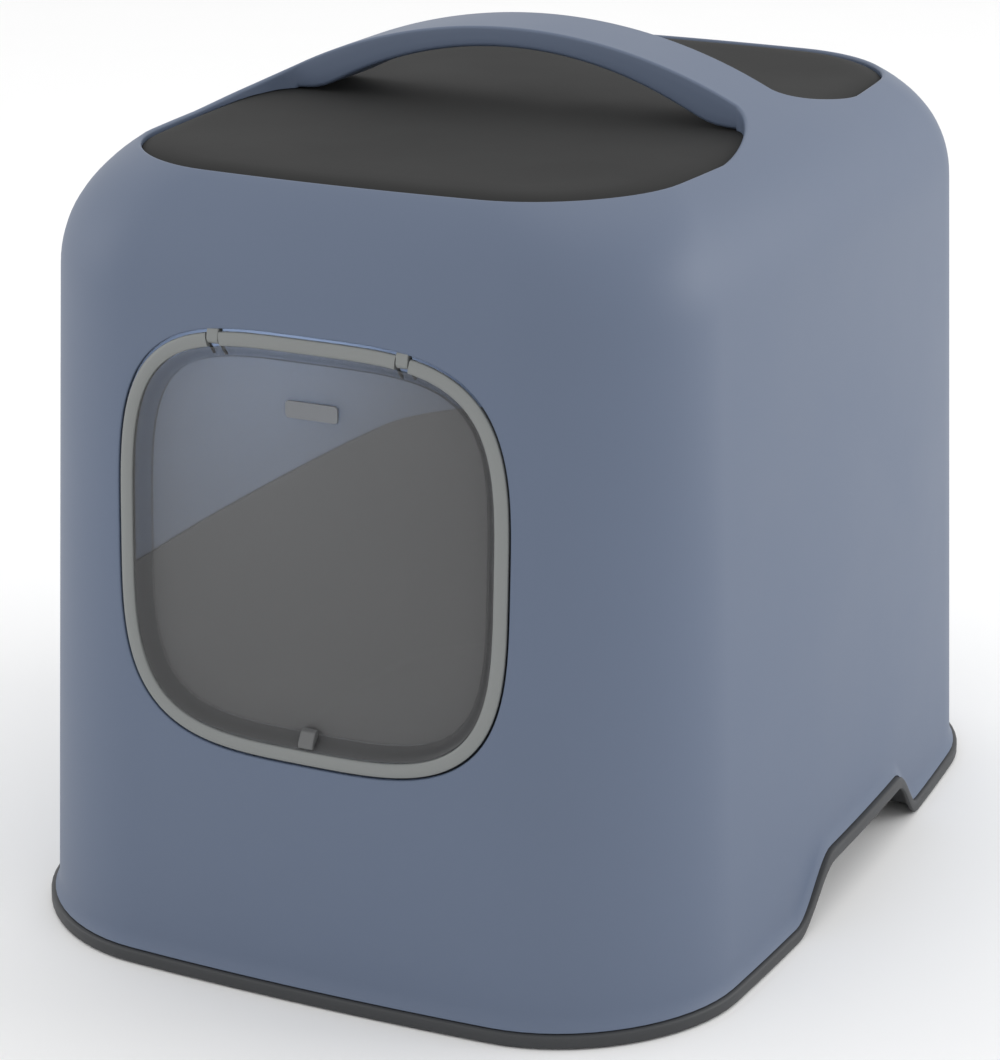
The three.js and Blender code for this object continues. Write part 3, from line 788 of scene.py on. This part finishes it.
def tray_wall(z):
    """Inset of the pan's outer face at a height."""
    return TRAY_FOOT[0] - (z - TRAY_FOOT[1]) * TRAY_LEAN[0] / TRAY_LEAN[1]


def tray_corner(inset):
    """Corner radius of the pan at an inset."""
    return CORNER_AT_RIM - 0.8 * min(inset, 60)


def tray_ring(inset, height):
    """A ring of the plan with the pan's own corner."""
    corner = tray_corner(inset(0.0) if callable(inset) else inset)
    return plan_ring(inset, height, corner)


# The floor, with a round where it meets the wall.
tray_rows = [tray_ring(inset, TRAY_FLOOR_TOP) for inset in (90, 50, 38)]
tray_rows += [tray_ring(inset, z) for inset, z in ((35.2, 6.3), (33.2, 8.2), TRAY_INSIDE)]

# Up the inside wall and over its top.
inside_inset, inside_z = TRAY_INSIDE
for share in (0.2, 0.4, 0.6, 0.8, 0.97):
    inset = inside_inset - TRAY_LEAN[0] * share
    tray_rows.append(tray_ring(inset, lambda y, s=share: inside_z + (tray_top(y) - inside_z) * s))
for inset, fall in ((19.4, 0.6), (18.6, 0.0), (17.8, 0.0), (17.0, 0.8)):
    tray_rows.append(tray_ring(inset, lambda y, f=fall: tray_top(y) - f))

# Down the outside wall.
for share in (0.8, 0.6, 0.4, 0.2, 0.06, 0.0):
    height = lambda y, s=share: BAND + grip_lift(y) + 1.2 + (tray_top(y) - 3 - BAND - grip_lift(y)) * s
    tray_rows.append(tray_ring(lambda y, h=height: tray_wall(h(y)), height))

# Out along the ledge, round the band and back under it, as inset and height.
LEDGE = [
    (28.0, BAND + 0.2), (26.4, BAND), (14.0, BAND), (3.0, BAND), (1.4, BAND),
    (0.6, BAND - 0.3), (0.15, BAND - 0.85), (0.0, BAND - 1.6),
    (0.0, 1.4), (0.25, 0.6), (0.9, 0.1), (1.8, 0.0), (2.5, 0.2), (3.0, 0.9), (3.0, 3.9),
    (3.8, BAND_UNDER), (14.0, BAND_UNDER),
]
BESIDE_WALL = 20
for inset, z in LEDGE:
    if inset > BESIDE_WALL:
        inset = lambda y, i=inset: min(i, tray_wall(BAND + grip_lift(y)) - 0.2 * (29 - i))
    tray_rows.append(tray_ring(inset, lifted(z, 1.0)))
tray_rows.append(tray_ring(lambda y: tray_wall(BAND_UNDER + grip_lift(y)), lifted(BAND_UNDER, 1.0)))

# Down to the underside of the floor.
for share in (0.75, 0.5, 0.25):
    height = lambda y, s=share: 3.8 + (grip_lift(y) + 0.5) * s
    tray_rows.append(tray_ring(lambda y, h=height: tray_wall(h(y)), height))
tray_rows.append(tray_ring(30.4, 3.4))
tray_rows += [tray_ring(inset, TRAY_FLOOR_UNDER) for inset in (31.6, 50, 90)]
tray_faces = band_faces(tray_rows, reverse=True)
tray_faces += fan_faces(tray_rows[0]) + fan_faces(tray_rows[-1], reverse=True)
tray = weld("tray_pan", tray_faces)
dress(tray, TRAY_DARK, "tray", "dark_plastic", "tray")

# %% [markdown]
# ## The swing door
#
# The door is a shallow dish of frosted plastic with a light grey bead round its edge. Both follow
# the curve of the hood's front, so they are drawn as rings of the door's outline at several depths.

# %% The dished panel
BEAD_WIDTH = 7.5
DISH_SLOPE = 6.4
DISH_DEPTH = 8.0
FLAP_WALL = 2.2
EDGE_DEPTH = 1.0
SLOPE_STEPS = 9
BEAD_TO_SLOPE = 0.3
SLOPE_END = 0.6
FLAP_POINTS = 240
flap_angles = [2 * math.pi * i / FLAP_POINTS for i in range(FLAP_POINTS)]


def door_ring(inset, depth):
    """The door's outline, moved inwards and set behind the hood's front."""
    return [on_front(*door_point(angle, inset), depth) for angle in flap_angles]


def dish_profile(offset):
    """Inset and depth from the edge to the middle of the dish."""
    rows = [(BEAD_WIDTH + BEAD_TO_SLOPE, EDGE_DEPTH)]
    for step in range(1, SLOPE_STEPS):
        share = step / SLOPE_STEPS
        inset = BEAD_WIDTH + BEAD_TO_SLOPE + DISH_SLOPE * share
        rows.append((inset, EDGE_DEPTH + (DISH_DEPTH - EDGE_DEPTH) * ease(share)))
    rows.append((BEAD_WIDTH + DISH_SLOPE + SLOPE_END, DISH_DEPTH))
    return [(inset, depth + offset) for inset, depth in rows]


def middle_rings(offset):
    """Rings of one face of the flat middle, shrinking towards its centre."""
    rings = []
    for scale in (0.9995, 0.85, 0.65, 0.4, 0.15):
        ring = []
        for angle in flap_angles:
            x, z = door_point(angle, BEAD_WIDTH + DISH_SLOPE + SLOPE_END)
            ring.append(on_front(x * scale, DOOR_Z + (z - DOOR_Z) * scale, DISH_DEPTH + offset))
        rings.append(ring)
    return rings


front_slope = [door_ring(inset, depth) for inset, depth in dish_profile(0.0)]
back_slope = [door_ring(inset, depth) for inset, depth in dish_profile(FLAP_WALL)]
slope_rows = back_slope[::-1] + front_slope + [back_slope[-1]]
slope = weld("door_slope", band_faces(slope_rows, reverse=True))
dress(slope, DOOR_SLOPE_PAINTED_SHADE, "flap", "frosted_plastic")

front_rings = middle_rings(0.0)
back_rings = middle_rings(FLAP_WALL)
flap_faces = band_faces(back_rings[::-1] + front_rings, reverse=True)
flap_faces += fan_faces(front_rings[-1], reverse=True) + fan_faces(back_rings[-1])
flap = weld("door_panel", flap_faces)
dress(flap, DOOR_FROSTED, "flap", "frosted_plastic", "flap_panel")

# %% [markdown]
# The bead is one section carried round the door's outline. It is cut at each hinge, so it comes as a
# long piece and a short one between the hinges. A curve with a bevel could make it too, but a section
# given point by point keeps its back flat and follows the bowed front exactly.

# %% The bead round the door
BEAD_BACK = 3.8
BEAD_BEVEL_INSET = 2.6
BEAD_BEVEL_DEPTH = 1.6
HINGE_X = 54.0
HINGE_Z = 354.0
HINGE_DEPTH = 2.1
SLOT_WIDTH = 7.6
hinge_y = front_y(HINGE_X, HINGE_Z) + HINGE_DEPTH


def bead_section(sides=20):
    """The bead's section as inset and depth: full and round at the front, flat at the back.

    The outer edge of the back is bevelled, so that it clears the hood as the door turns inwards.
    """
    half = BEAD_WIDTH / 2
    points = []
    for step in range(sides + 1):
        angle = math.pi * step / sides
        points.append((half - half * math.cos(angle), 0.9 - 1.7 * math.sin(angle) ** 0.8))
    points += [(BEAD_WIDTH, BEAD_BACK - 0.4), (BEAD_WIDTH - 0.4, BEAD_BACK)]
    points += [(BEAD_BEVEL_INSET, BEAD_BACK), (0.0, BEAD_BEVEL_DEPTH)]
    return points


def bead_between(name, start_x, end_x):
    """A stretch of bead, anticlockwise between two places on the door's top side, closed at both ends."""
    start = angle_on_top(start_x)
    end = angle_on_top(end_x)
    span = (end - start) % (2 * math.pi)
    steps = max(24, round(span / (2 * math.pi) * 360))
    rows = []
    for i in range(steps + 1):
        angle = start + span * i / steps
        rows.append([on_front(*door_point(angle, inset), depth) for inset, depth in bead_section()])
    ends = fan_faces(rows[0]) + fan_faces(rows[-1], reverse=True)
    return weld(name, band_faces(rows, reverse=True) + ends)


def angle_on_top(x):
    """The angle at which the door's top edge passes a given x."""
    low, high = math.radians(20), math.radians(160)
    for _ in range(40):
        guess = (low + high) / 2
        if door_point(guess, BEAD_WIDTH / 2)[0] > x:
            low = guess
        else:
            high = guess
    return low


outer_cut = HINGE_X + SLOT_WIDTH / 2
inner_cut = HINGE_X - SLOT_WIDTH / 2
bead = bead_between("door_bead", -outer_cut, outer_cut)
bead_top = bead_between("door_bead_top", inner_cut, -inner_cut)
dress(bead, BEAD_GREY, "flap", "light_grey_plastic", "flap_rim")
dress(bead_top, BEAD_GREY, "flap", "light_grey_plastic", "flap_rim_top")

# %% [markdown]
# ## Hinges and tab
#
# Each hinge is a finger that hangs from the hood into a slot of the bead and holds the pin. Two thin
# ribs beside it stiffen the slope of the dish. They are all small plates with a soft edge, so one
# helper makes them: an outline in depth and height, pushed sideways and bevelled.

# %% A small bevelled plate
def side_plate(name, outline, middle, width, edge):
    """An outline in y and z, pushed along x, with rounded edges."""
    left = [Vector((middle - width / 2, y, z)) for y, z in outline]
    right = [Vector((middle + width / 2, y, z)) for y, z in outline]
    plate_piece = weld(name, band_faces([left, right]) + [left[::-1], right])
    rounding = plate_piece.modifiers.new("soft edge", "BEVEL")
    rounding.width = edge * MM
    rounding.segments = 3
    return plate_piece


# %% Hinge fingers and ribs
FINGER_WIDTH = 6.6
FINGER_RADIUS = 2.9
FINGER_TOP = 366.0
FINGER_EDGE = 0.5
RIB_WIDTH = 1.5
RIB_EDGE = 0.3
RIB_TO_FINGER = 0.3
RIB_OUTLINE = [(0.9, 352.1), (7.4, 344.2), (8.6, 344.2), (8.6, 345.0), (2.6, 352.1)]

finger_outline = []
for step in range(13):
    turn = math.pi + math.pi * step / 12
    y = hinge_y + FINGER_RADIUS * math.cos(turn)
    finger_outline.append((y, HINGE_Z + FINGER_RADIUS * math.sin(turn)))
finger_outline += [(hinge_y + FINGER_RADIUS, FINGER_TOP), (hinge_y + 2.0, FINGER_TOP)]
for back, rise in ((0.3, 7.4), (-1.3, 5.8), (-2.5, 3.4)):
    finger_outline.append((hinge_y + back, HINGE_Z + rise))

for side, place in (("left", -HINGE_X), ("right", HINGE_X)):
    finger = side_plate("hinge_finger_" + side, finger_outline, place, FINGER_WIDTH, FINGER_EDGE)
    dress(finger, BEAD_GREY, "hood", "light_grey_plastic")
    reach = FINGER_WIDTH / 2 + RIB_TO_FINGER
    for number, offset in enumerate((-reach, reach)):
        x = place + offset
        rib_outline = [(front_y(x, z) + depth, z) for depth, z in RIB_OUTLINE]
        rib = side_plate(f"hinge_rib_{side}_{number + 1}", rib_outline, x, RIB_WIDTH, RIB_EDGE)
        # Painted shade: the ribs' dark grey stands for the shadow beside each hinge.
        dress(rib, RIB_PAINTED_SHADE_GREY, "flap", "dark_plastic")

# %% [markdown]
# The small tab at the foot of the door gives a finger something to catch. It is the same kind of
# plate, wider and with a larger bevel.

# %% The tab
TAB_WIDTH = 8.6
TAB_EDGE = 1.5
TAB_OUTLINE = [(0.1, 142.3), (0.2, 144.8), (3.6, 150.6), (7.0, 151.6), (7.2, 147.6), (1.3, 142.3)]
tab_front = front_y(0.0, 145.0)
tab_outline = [(tab_front + depth, z) for depth, z in TAB_OUTLINE[::-1]]
tab = side_plate("door_tab", tab_outline, 0.0, TAB_WIDTH, TAB_EDGE)
dress(tab, TAB_GREY, "flap", "light_grey_plastic", "flap_tab")

# %% [markdown]
# ## Materials for the pieces that keep their own shape
#
# The feet, the filter, the pins and the blank pad on the door are already the right shape in the
# frame, so they only need their materials.

# %% Carried-over pieces
CARRIED = {
    "foot_1": FOOT_RUBBER, "foot_2": FOOT_RUBBER, "foot_3": FOOT_RUBBER, "foot_4": FOOT_RUBBER,
    "filter_frame": TRAY_DARK, "filter_cover": TRAY_DARK, "carbon_filter": FILTER_BLACK,
    "filter_cover_pin": PIN_STEEL, "hinge_pin_left": PIN_STEEL, "hinge_pin_right": PIN_STEEL,
    "flap_pad": PAD_GREY,
}
for node, material in CARRIED.items():
    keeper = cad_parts[node]
    keeper.data.materials.clear()
    keeper.data.materials.append(material)
print("pieces kept with a new finish:", len(CARRIED))

# %% [markdown]
# ## Floor, light and camera
#
# A white floor and a white surround give soft light with hardly a shadow. Three large lamps shape it:
# the strongest stands behind the right side and lifts it, a weaker one fills the left, and a faint one
# above draws out the top edges.

# %% Floor
bpy.ops.mesh.primitive_plane_add(size=30, location=(0, 0, -0.0005))
floor = bpy.context.object
floor.name = "studio_floor"
floor_paint = moulded("floor_paint", (0.9, 0.9, 0.9), 0.005, 0.9, 300.0, 0.01)
floor.data.materials.append(floor_paint)
print("floor:", floor.name)

# %% World and lamps
world = bpy.data.worlds.new("studio")
bpy.context.scene.world = world
world.use_nodes = True
world.node_tree.nodes["Background"].inputs["Color"].default_value = (1, 1, 1, 1)
world.node_tree.nodes["Background"].inputs["Strength"].default_value = 1.0


def softbox(name, place, aim, width, height, power):
    """A rectangular lamp that faces a point."""
    lamp = bpy.data.lights.new(name, "AREA")
    lamp.shape = "RECTANGLE"
    lamp.size = width
    lamp.size_y = height
    lamp.energy = power
    holder = bpy.data.objects.new(name, lamp)
    holder.location = place
    holder.rotation_euler = (Vector(aim) - Vector(place)).to_track_quat("-Z", "Y").to_euler()
    bpy.context.scene.collection.objects.link(holder)
    return holder


softbox("right_softbox", (2.7, 1.5, 1.3), (0, 0, 0.25), 2.0, 1.8, 31)
softbox("left_softbox", (-3.0, -0.9, 1.2), (0, 0, 0.25), 1.8, 1.8, 12)
softbox("top_softbox", (0.3, 0.8, 3.0), (0, 0, 0.3), 2.2, 2.2, 8)
print("lamps:", len(bpy.data.lights))

# %% [markdown]
# A small hidden lamp lights the wall behind the door, so that it shows through the frosted plastic. A
# real box has no such lamp. A stronger surround would do the same, but it would wash out the outside.

# %% A small lamp inside the box
room_lamp = softbox("room_lamp", (0.14, 0.09, 0.33), (-0.19, 0.06, 0.25), 0.26, 0.08, 0.8)
room_lamp.data.spread = math.radians(85)
room_lamp.visible_camera = False
room_lamp.visible_glossy = False
room_lamp.visible_transmission = False
print("lamp inside:", room_lamp.name)

# %% [markdown]
# The camera stands in front, to the right and a little above, with a long lens, so that the box keeps
# its upright lines.

# %% Camera
CAMERA_PLACE = (0.7718, -1.6405, 0.7976)
CAMERA_TURN = math.radians(25.72)
CAMERA_TILT = math.radians(18.84)
camera_data = bpy.data.cameras.new("camera")
camera_data.sensor_width = 36.0
camera_data.lens = 111.1
camera = bpy.data.objects.new("camera", camera_data)
camera.location = CAMERA_PLACE
camera.rotation_euler = (math.pi / 2 - CAMERA_TILT, 0, CAMERA_TURN)
bpy.context.scene.collection.objects.link(camera)
bpy.context.scene.camera = camera
bpy.context.scene.view_settings.view_transform = "Standard"
print("camera:", CAMERA_PLACE, "lens", camera_data.lens)
